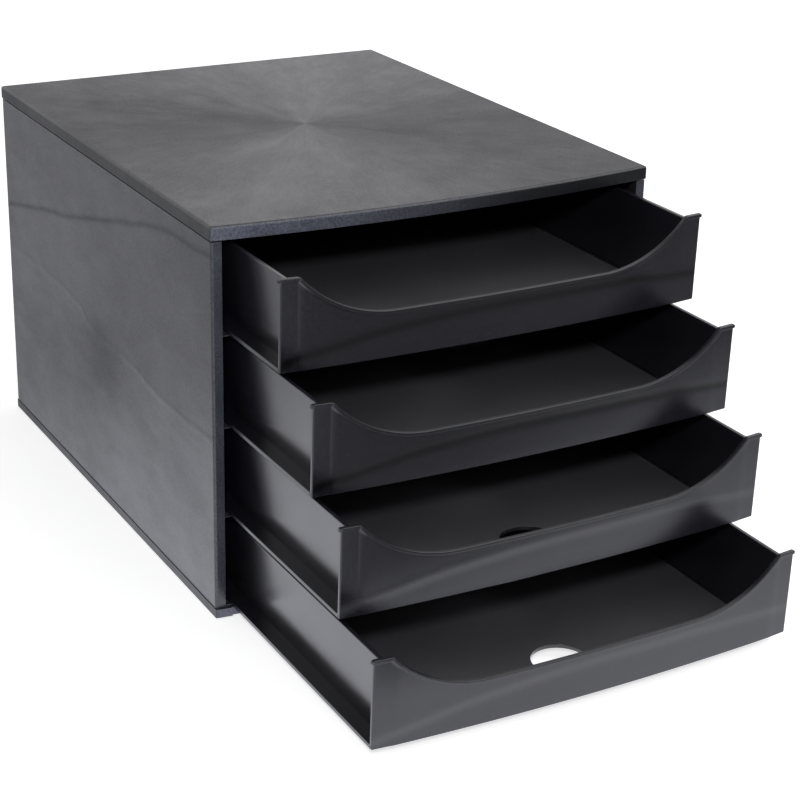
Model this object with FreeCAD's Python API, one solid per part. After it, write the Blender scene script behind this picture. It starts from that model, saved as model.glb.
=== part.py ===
"""Desktop drawer unit for letter-size sheets: a five-panel plastic casing and four sliding trays.

Millimetres. +X is to the right, the front faces -Y and +Z is up. The trays are drawn pulled out in
steps, and the origin is the middle of the floor area that the unit then covers, casing and trays.
"""

import FreeCAD
import Part

import math
import os

V = FreeCAD.Vector

# Casing
WIDTH = 284.0
DEPTH = 348.0
HEIGHT = 234.8
WALL = 2.2
CORNER_R = 1.0

# Top panel: a plate with a turned-down skirt; its front edge is bowed forward in plan
PANEL_BOW = 9.2
PANEL_END_SET_BACK = 0.8
TOP_PLATE = 2.5
SKIRT_H = 8.0
TOP_EDGE_R = 1.8

# Base panel, bowed like the top, with a block at each front corner, two raised runners and its feet
BASE_TOP_Z = 6.1
BASE_RIM_W = 7.6
RUNNER_H = 0.7
RUNNER_W = 14.0
RUNNER_START = 2.0
BLOCK_W = 10.0
BLOCK_LENGTH = 16.0
BLOCK_PROUD = 1.2
BLOCK_EDGE_R = 0.5
FOOT_PROUD = 0.8
FOOT_THICK = 1.6
FOOT_R = 7.5
FOOT_EDGE_R = 0.4
FOOT_BOSS_R = 9.0
FOOT_INSET_X = 24.0
FOOT_INSET_Y = 26.0

# Side panels
SIDE_INSET = 0.4
STILE_INNER_X = 135.0
STILE_SET_BACK = 1.0
STILE_RETURN_DEPTH = 7.0
STILE_EDGE_R = 1.6
STILE_INNER_EDGE_R = 0.5
SHOULDER_GAP = 0.8
TONGUE_THICK = 2.0
TONGUE_DEPTH = 8.0
REAR_RETURN_W = 6.5
LEDGE_THICK = 1.8
LEDGE_INNER_X = 127.0
LEDGE_START = 3.0
LEDGE_NOSE = 3.0
LEDGE_NOSE_DROP = 1.2

# Back panel, held in a slot between two ribs of each side panel
BACK_THICK = 2.4
BACK_INSET = 2.4
SLOT_CLEAR = 0.1

# Snap clips between the panels, at three places along each side
CLIP_W = 14.0
CLIP_CLEAR = 0.2
CLIP_THICK = 1.8
CLIP_STEP = 110.0
BARB = 1.2
BARB_H = 2.8

# Trays: 1 to 3 run on ledges, and 4 runs on the base panel's runners in a slightly taller bay
TRAY_COUNT = 4
UPPER_PITCH = 54.6
LOWEST_PITCH = 56.5
TRAY_1_PULL = 63.9
TRAY_2_PULL = 101.4
TRAY_3_PULL = 133.0
TRAY_4_PULL = 169.4
RUN_CLEAR = 0.35
TRAY_LENGTH = 342.6
TRAY_HALF_W = 132.4
TRAY_FLOOR = 2.4
TRAY_WALL = 2.0
WALL_TOP_Z = 49.2
WALL_FOOT_X = 123.0
WALL_DRAFT = 4.0
BEAD_H = 2.2
BEAD_PROUD = 0.8
REAR_CORNER_R = 8.0
REAR_WALL_INSET = 1.0
START_R = 1.0
FLANGE_REAR_R = 3.0

# Tray front: bowed in plan, with flat ears, a leaning face and a rim along the scooped top edge
FRONT_H = 52.0
FRONT_THICK = 2.2
FRONT_BOW = 5.55
FRONT_LEAN = 1.2
EAR_FOLD_X = 121.5
EAR_SET_BACK = 1.4
SCOOP_Z = 26.8
SCOOP_FLAT_X = 66.0
SCOOP_R = 74.0
EAR_CORNER_R = 3.0
RIM_H = 2.2
RIM_PROUD = 0.6
RIM_SIDE = 0.9

# Thumb hole in the tray's floor
THUMB_R = 16.0
THUMB_Y = 29.0

# Stops that keep a tray from running out of the casing
FULL_TRAVEL = 240.0
LUG_REACH = 2.3
LUG_LENGTH = 6.0
LUG_H = 3.6
LUG_SET_BACK = 1.0
STOP_INNER_X = 133.2
STOP_LENGTH = 6.0
STOP_H = 4.4
STOP_CLEAR = 0.3

HALF_W = WIDTH / 2
TRAY_4_REACH = TRAY_4_PULL + FRONT_BOW + RIM_PROUD + FRONT_LEAN * SCOOP_Z / FRONT_H
FRONT_Y = (TRAY_4_REACH - DEPTH) / 2
REAR_Y = FRONT_Y + DEPTH
PANEL_END_Y = FRONT_Y + PANEL_END_SET_BACK
STILE_Y = FRONT_Y + STILE_SET_BACK
SKIRT_INNER_X = HALF_W - WALL
SIDE_OUTER_X = HALF_W - SIDE_INSET
SIDE_INNER_X = SIDE_OUTER_X - WALL
TOP_PLATE_Z = HEIGHT - TOP_PLATE
SKIRT_BOTTOM_Z = HEIGHT - SKIRT_H
SHOULDER_Z = SKIRT_BOTTOM_Z - SHOULDER_GAP
BASE_UNDER_Z = BASE_TOP_Z - WALL
BACK_Y = REAR_Y - BACK_INSET - BACK_THICK
SLOT_RIB_Y = BACK_Y - SLOT_CLEAR - WALL
MIDDLE_Y = (FRONT_Y + REAR_Y) / 2
CLIP_PLACES = (MIDDLE_Y - CLIP_STEP, MIDDLE_Y, MIDDLE_Y + CLIP_STEP)
TRAY_4_Z = BASE_TOP_Z + RUNNER_H + RUN_CLEAR
TRAY_PULLS = (TRAY_1_PULL, TRAY_2_PULL, TRAY_3_PULL, TRAY_4_PULL)


def tray_z(number):
    """Height of a tray's underside; tray 1 is the uppermost."""
    if number == TRAY_COUNT:
        return TRAY_4_Z
    return TRAY_4_Z + LOWEST_PITCH + (TRAY_COUNT - 1 - number) * UPPER_PITCH


def block(x0, x1, y0, y1, z0, z1):
    """Box between two corners, given in any order along X."""
    low_x = min(x0, x1)
    return Part.makeBox(abs(x1 - x0), y1 - y0, z1 - z0, V(low_x, y0, z0))


def fused(shapes):
    """One clean solid from several that touch or overlap."""
    first = shapes[0]
    if len(shapes) > 1:
        first = first.fuse(shapes[1:])
    return first.removeSplitter()


def prism(points, direction):
    """Solid made by moving a flat polygon along a vector."""
    wire = Part.makePolygon([V(*p) for p in points] + [V(*points[0])])
    return Part.Face(wire).extrude(V(*direction))


def line(a, b):
    return Part.LineSegment(a, b).toShape()


def arc(a, b, c):
    return Part.Arc(a, b, c).toShape()


def rounded_outline(x, y0, y1, z, front_r, rear_r):
    """Closed rectangle from -x to x and y0 to y1 with its own corner radii at front and rear."""
    corners = (
        (x - front_r, y0 + front_r, front_r, -90),
        (x - rear_r, y1 - rear_r, rear_r, 0),
        (-x + rear_r, y1 - rear_r, rear_r, 90),
        (-x + front_r, y0 + front_r, front_r, 180),
    )
    bends = []
    for cx, cy, r, start in corners:
        angles = [math.radians(start + a) for a in (0, 45, 90)]
        bends.append([V(cx + r * math.cos(a), cy + r * math.sin(a), z) for a in angles])
    edges = [arc(*bend) for bend in bends]
    for i in range(4):
        edges.append(line(bends[i][2], bends[(i + 1) % 4][0]))
    return Part.Wire(Part.__sortEdges__(edges))


def slab(x, y0, y1, z0, z1, front_r, rear_r):
    """Upright solid over a rounded outline."""
    return Part.Face(rounded_outline(x, y0, y1, z0, front_r, rear_r)).extrude(V(0, 0, z1 - z0))


def bowed_slab(x, end_y, rear_y, z0, z1):
    """Upright solid whose front edge is an arc from one front corner to the other."""
    left = V(-x, end_y, z0)
    right = V(x, end_y, z0)
    rear_left = V(-x, rear_y, z0)
    rear_right = V(x, rear_y, z0)
    front = arc(left, V(0, end_y - PANEL_BOW, z0), right)
    edges = [front, line(right, rear_right), line(rear_right, rear_left), line(rear_left, left)]
    return Part.Face(Part.Wire(edges)).extrude(V(0, 0, z1 - z0))


def upright_edges(shape, at_x, y_values):
    """Tall edges of a shape at x = +-at_x and at one of the given depths."""
    found = []
    for edge in shape.Edges:
        box = edge.BoundBox
        vertical = box.XLength < 0.01 and box.YLength < 0.01
        at_side = abs(abs(box.XMin) - at_x) < 0.01
        at_depth = min(abs(box.YMin - y) for y in y_values) < 0.01
        if vertical and at_side and at_depth:
            found.append(edge)
    return found


# Casing panels


def rounded_panel(end_y, z0, z1):
    """Full-width slab with a bowed front and rounded corners."""
    body = bowed_slab(HALF_W, end_y, REAR_Y, z0, z1)
    return body.makeFillet(CORNER_R, upright_edges(body, HALF_W, (end_y, REAR_Y)))


def top_clip(side, y):
    """Downward clip whose barb enters a window in the side panel's tongue."""
    face = SKIRT_INNER_X - SLOT_CLEAR - TONGUE_THICK - CLIP_CLEAR
    y0 = y - CLIP_W / 2
    bottom = SKIRT_BOTTOM_Z - TONGUE_DEPTH + BARB_H
    leg = block(side * face, side * (face - CLIP_THICK), y0, y0 + CLIP_W, bottom, TOP_PLATE_Z)
    tip = side * (face + CLIP_CLEAR + BARB)
    top = bottom + BARB_H
    barb = prism(((side * face, y0, bottom), (tip, y0, top), (side * face, y0, top)), (0, CLIP_W, 0))
    return [leg, barb]


def top_panel():
    body = bowed_slab(HALF_W, PANEL_END_Y, REAR_Y, SKIRT_BOTTOM_Z, HEIGHT)
    upper = [edge for edge in body.Edges if edge.BoundBox.ZMin > HEIGHT - 0.01]
    body = body.makeFillet(TOP_EDGE_R, upper).common(rounded_panel(PANEL_END_Y, SKIRT_BOTTOM_Z, HEIGHT))
    inside = bowed_slab(SKIRT_INNER_X, PANEL_END_Y + WALL, REAR_Y - WALL, SKIRT_BOTTOM_Z - 1, TOP_PLATE_Z)
    clips = []
    for side in (-1, 1):
        for y in CLIP_PLACES:
            clips += top_clip(side, y)
    return fused([body.cut(inside)] + clips)


def corner_blocks():
    """Blocks under the stiles, standing a little ahead of the base's bowed edge."""
    whole = rounded_panel(PANEL_END_Y - BLOCK_PROUD, FOOT_PROUD, BASE_TOP_Z)
    y0 = FRONT_Y - 2 * PANEL_BOW
    y1 = FRONT_Y + BLOCK_LENGTH
    blocks = []
    for side in (-1, 1):
        end = whole.common(block(side * (HALF_W + 1), side * (HALF_W - BLOCK_W), y0, y1, 0, BASE_TOP_Z))
        inner = upright_edges(end, HALF_W - BLOCK_W, (end.BoundBox.YMin,))
        blocks.append(end.makeFillet(BLOCK_EDGE_R, inner))
    return blocks


def tab_pocket(side, y):
    """Slot through the base, wider below, for a tab of the side panel."""
    outer = side * (SIDE_INNER_X + CLIP_CLEAR)
    neck = side * (SIDE_INNER_X - CLIP_THICK - CLIP_CLEAR)
    wide = side * (SIDE_INNER_X - CLIP_THICK - BARB - 2 * CLIP_CLEAR)
    y0 = y - CLIP_W / 2 - CLIP_CLEAR
    y1 = y + CLIP_W / 2 + CLIP_CLEAR
    return [block(outer, neck, y0, y1, 0, BASE_TOP_Z + 1), block(outer, wide, y0, y1, 0, BASE_UNDER_Z)]


def foot_places():
    x = HALF_W - FOOT_INSET_X
    front = FRONT_Y + FOOT_INSET_Y
    rear = REAR_Y - FOOT_INSET_Y
    return {
        "front_left": (-x, front),
        "front_right": (x, front),
        "rear_left": (-x, rear),
        "rear_right": (x, rear),
    }


def runner(side):
    """Low strip that carries one flange of the lowest tray."""
    outer = side * (STILE_INNER_X - RUN_CLEAR)
    inner = side * (STILE_INNER_X - RUNNER_W)
    return block(outer, inner, FRONT_Y + RUNNER_START, SLOT_RIB_Y, BASE_TOP_Z, BASE_TOP_Z + RUNNER_H)


def base_panel():
    body = fused([rounded_panel(PANEL_END_Y, FOOT_PROUD, BASE_TOP_Z)] + corner_blocks())
    inside_x = HALF_W - BASE_RIM_W
    body = body.cut(bowed_slab(inside_x, PANEL_END_Y + WALL, REAR_Y - WALL, 0, BASE_UNDER_Z))
    for side in (-1, 1):
        for y in CLIP_PLACES:
            for pocket in tab_pocket(side, y):
                body = body.cut(pocket)
    bosses = []
    for x, y in foot_places().values():
        bosses.append(Part.makeCylinder(FOOT_BOSS_R, BASE_UNDER_Z - FOOT_THICK, V(x, y, FOOT_THICK)))
    return fused([body] + bosses + [runner(-1), runner(1)])


def foot(x, y):
    """Round non-slip pad with an eased lower rim."""
    pad = Part.makeCylinder(FOOT_R, FOOT_THICK, V(x, y, 0))
    lower = [edge for edge in pad.Edges if edge.BoundBox.ZMax < 0.01]
    return pad.makeFillet(FOOT_EDGE_R, lower)


def side_shell(side):
    """Outer wall with the front stile, its return, and the two ribs that hold the back panel."""
    outer = side * SIDE_OUTER_X
    inner = side * SIDE_INNER_X
    stile = side * STILE_INNER_X
    stile_back = side * (STILE_INNER_X + WALL)
    rear = side * (HALF_W - REAR_RETURN_W)
    z0 = BASE_TOP_Z
    z1 = SHOULDER_Z
    parts = [
        block(outer, inner, STILE_Y, REAR_Y, z0, z1),
        block(outer, stile, STILE_Y, STILE_Y + WALL, z0, z1),
        block(stile_back, stile, STILE_Y, STILE_Y + STILE_RETURN_DEPTH, z0, z1),
        block(outer, rear, REAR_Y - BACK_INSET + SLOT_CLEAR, REAR_Y, z0, z1),
        block(inner, rear, SLOT_RIB_Y, SLOT_RIB_Y + WALL, z0, z1),
    ]
    shell = fused(parts)
    shell = shell.makeFillet(STILE_EDGE_R, upright_edges(shell, SIDE_OUTER_X, (STILE_Y, REAR_Y)))
    return shell.makeFillet(STILE_INNER_EDGE_R, upright_edges(shell, STILE_INNER_X, (STILE_Y,)))


def side_ledges(side):
    """Runner ledges under trays 1 to 3, each with a nose that slopes down at the front."""
    made = []
    x = side * SIDE_INNER_X
    across = side * (LEDGE_INNER_X - SIDE_INNER_X)
    start = FRONT_Y + LEDGE_START
    for number in range(1, TRAY_COUNT):
        top = tray_z(number) - RUN_CLEAR
        outline = (
            (x, start, top - LEDGE_THICK),
            (x, start, top - LEDGE_NOSE_DROP),
            (x, start + LEDGE_NOSE, top),
            (x, SLOT_RIB_Y, top),
            (x, SLOT_RIB_Y, top - LEDGE_THICK),
        )
        made.append(prism(outline, (across, 0, 0)))
    return made


def side_stops(side):
    """Blocks on the wall, level with each tray's flanges, that catch the lugs at full travel."""
    made = []
    lug_front = TRAY_LENGTH - LUG_SET_BACK - LUG_LENGTH
    y1 = FRONT_Y + lug_front - FULL_TRAVEL - STOP_CLEAR
    for number in range(1, TRAY_COUNT + 1):
        z0 = tray_z(number) - RUN_CLEAR
        made.append(block(side * SIDE_INNER_X, side * STOP_INNER_X, y1 - STOP_LENGTH, y1, z0, z0 + STOP_H))
    return made


def side_tongue(side):
    """Upright rib that stands inside the top panel's skirt, with a window for each clip."""
    outer = side * (SKIRT_INNER_X - SLOT_CLEAR)
    inner = side * (SKIRT_INNER_X - SLOT_CLEAR - TONGUE_THICK)
    bottom = SKIRT_BOTTOM_Z - TONGUE_DEPTH
    tongue = block(outer, inner, STILE_Y + STILE_RETURN_DEPTH, SLOT_RIB_Y, bottom, TOP_PLATE_Z)
    barb_z = bottom + BARB_H
    for y in CLIP_PLACES:
        y0 = y - CLIP_W / 2 - CLIP_CLEAR
        y1 = y + CLIP_W / 2 + CLIP_CLEAR
        window = block(outer, inner, y0, y1, barb_z - CLIP_CLEAR, barb_z + BARB_H + CLIP_CLEAR)
        tongue = tongue.cut(window)
    return tongue


def side_tabs(side):
    """Strip along the wall's foot with the tabs that snap through the base panel."""
    outer = side * SIDE_INNER_X
    inner = side * (SIDE_INNER_X - CLIP_THICK)
    tip = side * (SIDE_INNER_X - CLIP_THICK - BARB)
    catch = BASE_UNDER_Z - CLIP_CLEAR
    strip_top = BASE_TOP_Z + WALL
    made = [block(outer, inner, STILE_Y + STILE_RETURN_DEPTH, SLOT_RIB_Y, BASE_TOP_Z, strip_top)]
    for y in CLIP_PLACES:
        y0 = y - CLIP_W / 2
        made.append(block(outer, inner, y0, y0 + CLIP_W, catch - BARB_H, strip_top))
        barb = ((inner, y0, catch), (tip, y0, catch), (inner, y0, catch - BARB_H))
        made.append(prism(barb, (0, CLIP_W, 0)))
    return made


def side_panel(side):
    inner_parts = side_ledges(side) + side_stops(side) + side_tabs(side)
    return fused([side_shell(side), side_tongue(side)] + inner_parts)


def back_panel():
    """Flat plate in the side panels' slots, between the base and the top."""
    x = SIDE_INNER_X - SLOT_CLEAR
    return block(-x, x, BACK_Y, BACK_Y + BACK_THICK, BASE_TOP_Z, TOP_PLATE_Z)


# Tray


def plan_line(offset, x):
    """Plan points of the front's outer face moved back by offset: end, fold, middle, fold, end."""
    return (
        V(-x, offset, 0),
        V(-EAR_FOLD_X, offset - EAR_SET_BACK, 0),
        V(0, offset - FRONT_BOW, 0),
        V(EAR_FOLD_X, offset - EAR_SET_BACK, 0),
        V(x, offset, 0),
    )


def front_slab(near, far, x):
    """Leaning slab of the front's full height between two copies of its plan line."""
    a = plan_line(near, x)
    b = plan_line(far, x)
    edges = [
        line(a[0], a[1]),
        arc(a[1], a[2], a[3]),
        line(a[3], a[4]),
        line(a[4], b[4]),
        line(b[4], b[3]),
        arc(b[3], b[2], b[1]),
        line(b[1], b[0]),
        line(b[0], a[0]),
    ]
    return Part.Face(Part.Wire(edges)).extrude(V(0, -FRONT_LEAN, FRONT_H))


def scoop_outline(drop, end_x):
    """Front elevation of the tray front out to end_x, with its top edge and scoop lowered by drop."""
    top = FRONT_H - drop
    floor = SCOOP_Z - drop
    rise = top - floor
    run = math.sqrt(2 * SCOOP_R * rise - rise * rise)
    half_turn = math.acos(1 - rise / SCOOP_R) / 2
    mid_x = SCOOP_FLAT_X + SCOOP_R * math.sin(half_turn)
    mid_z = floor + SCOOP_R * (1 - math.cos(half_turn))
    y = -20 * FRONT_THICK
    right = (
        V(SCOOP_FLAT_X, y, floor),
        V(mid_x, y, mid_z),
        V(SCOOP_FLAT_X + run, y, top),
        V(end_x, y, top),
        V(end_x, y, 0),
    )
    left = [V(-p.x, p.y, p.z) for p in right]
    edges = [
        line(left[4], right[4]),
        line(right[4], right[3]),
        line(right[3], right[2]),
        arc(right[2], right[1], right[0]),
        line(right[0], left[0]),
        arc(left[0], left[1], left[2]),
        line(left[2], left[3]),
        line(left[3], left[4]),
    ]
    return Part.Face(Part.Wire(edges)).extrude(V(0, -2 * y, 0))


def ease_ears(panel):
    """Rounds the corner where each ear's top meets the scoop."""
    corners = []
    for edge in panel.Edges:
        box = edge.BoundBox
        across = box.YLength > 1 and box.XLength < 1 and box.ZLength < 0.2
        at_ear = abs(box.ZMax - FRONT_H) < 0.1 and abs(abs(box.XMax) - EAR_FOLD_X) < EAR_CORNER_R
        if across and at_ear:
            corners.append(edge)
    return panel.makeFillet(EAR_CORNER_R, corners)


def tray_front():
    """Bowed front, thickened to a rim along its whole top edge."""
    rim_x = TRAY_HALF_W + RIM_SIDE
    face = front_slab(0, FRONT_THICK, TRAY_HALF_W).common(scoop_outline(0, TRAY_HALF_W))
    rim = front_slab(-RIM_PROUD, FRONT_THICK, rim_x).common(scoop_outline(0, rim_x))
    rim = rim.cut(scoop_outline(RIM_H, 2 * rim_x))
    return ease_ears(fused([face, rim]))


def wall_section():
    """Section of a wall as outward and upward distances from its foot, with a bead inside its top."""
    under_bead = WALL_TOP_Z - BEAD_H
    lean = WALL_DRAFT / WALL_TOP_Z
    return (
        (0, 0),
        (WALL_DRAFT, WALL_TOP_Z),
        (WALL_DRAFT - TRAY_WALL - BEAD_PROUD, WALL_TOP_Z),
        (lean * under_bead - TRAY_WALL - BEAD_PROUD, under_bead),
        (lean * under_bead - TRAY_WALL, under_bead),
        (-TRAY_WALL, 0),
    )


def tray_walls(start):
    """Side walls from y = start and rear wall, flaring upwards, with rounded corners at the rear."""
    section = wall_section()
    foot_y = TRAY_LENGTH - WALL_DRAFT - REAR_WALL_INSET
    turn_x = WALL_FOOT_X - REAR_CORNER_R
    turn_y = foot_y - REAR_CORNER_R
    walls = [prism([(-turn_x, foot_y + out, up) for out, up in section], (2 * turn_x, 0, 0))]
    for side in (-1, 1):
        outline = [(side * (WALL_FOOT_X + out), start, up) for out, up in section]
        walls.append(prism(outline, (0, turn_y - start, 0)))
        turned = [V(side * (WALL_FOOT_X + out), turn_y, up) for out, up in section]
        face = Part.Face(Part.makePolygon(turned + turned[:1]))
        walls.append(face.revolve(V(side * turn_x, turn_y, 0), V(0, 0, side), 90))
    return fused(walls)


def tray_lug(side):
    """Nib at the rear end of a flange that meets the casing's stop block."""
    y1 = TRAY_LENGTH - LUG_SET_BACK
    outer = side * (TRAY_HALF_W + LUG_REACH)
    inner = side * (TRAY_HALF_W - FLANGE_REAR_R)
    return block(outer, inner, y1 - LUG_LENGTH, y1, 0, LUG_H)


def tray(number):
    """One tray; its own y = 0 is the ends of its front, which lie at FRONT_Y when it is closed."""
    start = -10 * FRONT_THICK
    floor = slab(TRAY_HALF_W, start, TRAY_LENGTH, 0, TRAY_FLOOR, START_R, FLANGE_REAR_R)
    ahead = front_slab(5 * start, FRONT_THICK / 2, 2 * TRAY_HALF_W)
    body = fused([floor, tray_walls(start)]).cut(ahead)
    body = fused([body, tray_front(), tray_lug(-1), tray_lug(1)])
    body = body.cut(Part.makeCylinder(THUMB_R, 3 * TRAY_FLOOR, V(0, THUMB_Y, -TRAY_FLOOR)))
    body.translate(V(0, FRONT_Y - TRAY_PULLS[number - 1], tray_z(number)))
    return body


def build():
    nodes = {
        "top_panel": top_panel(),
        "base_panel": base_panel(),
        "left_side_panel": side_panel(-1),
        "right_side_panel": side_panel(1),
        "back_panel": back_panel(),
    }
    for place, (x, y) in foot_places().items():
        nodes["foot_" + place] = foot(x, y)
    for number in range(1, TRAY_COUNT + 1):
        nodes[f"tray_{number}"] = tray(number)
    return nodes


os.makedirs("parts", exist_ok=True)
for name, shape in build().items():
    if not shape.isValid() or len(shape.Solids) != 1:
        raise ValueError(f"{name} isn't one valid solid")
    shape.exportStep(f"parts/{name}.step")
    print(name, round(shape.Volume / 1000, 1), "cm3")
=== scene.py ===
"""Looks of the desktop drawer unit: mouldings of the top panel and the trays, plastics, studio, lights and camera."""
import math

import bmesh
import bpy
from mathutils import Matrix, Vector


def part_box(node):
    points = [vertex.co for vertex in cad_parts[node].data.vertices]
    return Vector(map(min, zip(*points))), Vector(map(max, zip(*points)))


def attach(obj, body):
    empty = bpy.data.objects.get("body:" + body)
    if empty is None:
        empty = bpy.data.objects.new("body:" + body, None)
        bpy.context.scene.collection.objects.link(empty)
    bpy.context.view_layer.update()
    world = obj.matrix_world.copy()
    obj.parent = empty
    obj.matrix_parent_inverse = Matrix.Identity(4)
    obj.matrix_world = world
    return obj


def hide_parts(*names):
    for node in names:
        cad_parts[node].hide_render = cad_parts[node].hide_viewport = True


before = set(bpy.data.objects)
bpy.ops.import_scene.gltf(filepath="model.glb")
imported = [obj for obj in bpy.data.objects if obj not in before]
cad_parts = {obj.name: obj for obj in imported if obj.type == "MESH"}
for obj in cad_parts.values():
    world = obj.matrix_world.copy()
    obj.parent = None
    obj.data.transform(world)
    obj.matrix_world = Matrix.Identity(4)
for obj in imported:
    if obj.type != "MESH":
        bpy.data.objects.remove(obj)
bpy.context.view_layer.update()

MM = 0.001

# Sizes of a tray, in millimetres. Its own origin is the middle of the line between the ends of its front.
TRAY_HALF_W = 132.4
FRONT_H = 52.0
FRONT_THICK = 2.2
FRONT_BOW = 5.55
FRONT_LEAN = 1.2
FRONT_EDGE_R = 0.5
EAR_FOLD_X = 121.5
EAR_SET_BACK = 1.4
FOLD_STEP = 0.2
FOLD_W = 3.2
SCOOP_Z = 26.8
SCOOP_FLAT_X = 66.0
SCOOP_R = 74.0
EAR_CORNER_R = 3.0
RIM_H = 2.2
RIM_PROUD = 0.6
RIM_SIDE = 0.9
RIM_ROLL_R = 0.6
RIM_REAR_R = 0.5
RIM_STEP_R = 0.35
TRAY_FLOOR = 2.4
FLOOR_EDGE_R = 0.3
TRAY_WALL = 2.0
WALL_START_Y = 3.0
WALL_TOP_Z = 49.2
WALL_FOOT_X = 123.0
WALL_DRAFT = 4.0
WALL_TOP_R = 0.6
BEAD_H = 2.2
BEAD_PROUD = 0.8
BEAD_UNDERCUT = 0.3
REAR_WALL_INSET = 1.0
WALL_FOOT_R = 2.0
REAR_CORNER_R = 8.0
FLANGE_REAR_R = 3.0
THUMB_R = 16.0
THUMB_Y = 29.0
LUG_REACH = 2.3
LUG_LENGTH = 6.0
LUG_H = 3.6
LUG_SET_BACK = 1.0
LUG_EDGE_R = 0.5

# Sizes of the top panel, in millimetres
PANEL_HALF_W = 142.0
PANEL_BOW = 9.2
PANEL_CORNER_R = 1.0
PANEL_INNER_R = 0.1
PANEL_BAND_H = 8.0
PANEL_WALL = 2.2
PANEL_PLATE = 2.5
PANEL_EDGE_R = 1.8
PANEL_LIP_R = 0.2

# Numbers of steps along the mouldings' lines and roundings
EDGE_STEPS = 3
CORNER_STEPS = 4
ROLL_STEPS = 6
SCOOP_FLAT_STEPS = 12
SCOOP_STEPS = 18
EAR_CORNER_STEPS = 8
EAR_STEPS = 24
WALL_STEPS = 8
WALL_RISE_STEPS = 5
WALL_CORNER_STEPS = 8
FLOOR_FRONT_STEPS = 40
HOLE_STEPS = 64
PANEL_FRONT_STEPS = 72
PANEL_SIDE_STEPS = 6
PANEL_EDGE_STEPS = 8

# Parts of the way up to the rim where the front's section has points on its face and its rear
FACE_SHARES = (0.2, 0.4, 0.6, 0.8, 0.97)
REAR_SHARES = (0.6, 0.2)
# Where the middle point of a small rounding lies, as a share of its radius
ROUND_SHARE = 0.3

SMOOTH_ANGLE = math.radians(35)
OWN_PLACE = "own_place"

TRAYS = ("tray_1", "tray_2", "tray_3", "tray_4")
NOSE_Y = -(FRONT_BOW + RIM_PROUD + FRONT_LEAN * SCOOP_Z / FRONT_H)


def node_depth(node):
    """Size of a CAD node from front to rear, in millimetres."""
    low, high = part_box(node)
    return (high[1] - low[1]) / MM


TRAY_LENGTH = node_depth("tray_1") + NOSE_Y


# Mesh helpers


def quarter(start, steps=CORNER_STEPS):
    """Angles, in radians, of a quarter turn from a start in degrees."""
    return [math.radians(start + 90 * i / steps) for i in range(steps + 1)]


def corner(centre_x, centre_y, radius, start, steps=CORNER_STEPS):
    """Points round a quarter circle, from a start in degrees."""
    return [(centre_x + radius * math.cos(a), centre_y + radius * math.sin(a)) for a in quarter(start, steps)]


def arc_radius(half_chord, rise):
    """Radius of the circle through both ends and the middle of a bow."""
    return (half_chord**2 + rise**2) / (2 * rise)


def loft(rings):
    """Vertices and faces of a skin over closed rings of equal length, capped at both ends."""
    count = len(rings[0])
    verts = [point for ring in rings for point in ring]
    faces = []
    for i in range(len(rings) - 1):
        a = i * count
        b = a + count
        for j in range(count):
            k = (j + 1) % count
            faces.append((a + j, b + j, b + k, a + k))
    faces.append(tuple(range(count)))
    end = (len(rings) - 1) * count
    faces.append(tuple(range(end + count - 1, end - 1, -1)))
    return verts, faces


def merged(parts):
    """One list of vertices and faces from several."""
    verts = []
    faces = []
    for part_verts, part_faces in parts:
        start = len(verts)
        verts += part_verts
        faces += [tuple(start + i for i in face) for face in part_faces]
    return verts, faces


def fix_normals(mesh):
    """Turns all faces outwards."""
    shape = bmesh.new()
    shape.from_mesh(mesh)
    bmesh.ops.recalc_face_normals(shape, faces=shape.faces)
    shape.to_mesh(mesh)
    shape.free()


def mesh_piece(name, parts, offset, body, material):
    """Smooth-shaded object from parts in millimetres, moved by an offset in metres."""
    verts, faces = merged(parts)
    mesh = bpy.data.meshes.new(name)
    mesh.from_pydata([Vector(v) * MM + offset for v in verts], [], faces)
    mesh.validate()
    piece = bpy.data.objects.new(name, mesh)
    bpy.context.scene.collection.objects.link(piece)
    fix_normals(mesh)
    mesh.shade_smooth()
    mesh.set_sharp_from_angle(angle=SMOOTH_ANGLE)
    weight = piece.modifiers.new("weighted", "WEIGHTED_NORMAL")
    weight.keep_sharp = True
    own = mesh.attributes.new(OWN_PLACE, "FLOAT_VECTOR", "POINT")
    for i, v in enumerate(verts):
        own.data[i].vector = Vector(v) * MM
    mesh.materials.append(material)
    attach(piece, body)
    return piece


# Tray front


def front_plan(x):
    """How far back the front's outer face lies at x: a bow, then a small step back to each ear."""
    ax = abs(x)
    radius = arc_radius(EAR_FOLD_X, FRONT_BOW - EAR_SET_BACK)
    bow = -FRONT_BOW + radius - math.sqrt(radius**2 - min(ax, TRAY_HALF_W) ** 2)
    slope = (EAR_SET_BACK - FOLD_STEP) / (TRAY_HALF_W - EAR_FOLD_X)
    ear = -EAR_SET_BACK + FOLD_STEP + slope * (ax - EAR_FOLD_X)
    share = min(max((ax - EAR_FOLD_X) / FOLD_W + 0.5, 0.0), 1.0)
    blend = share * share * (3 - 2 * share)
    return bow + (ear - bow) * blend


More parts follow.
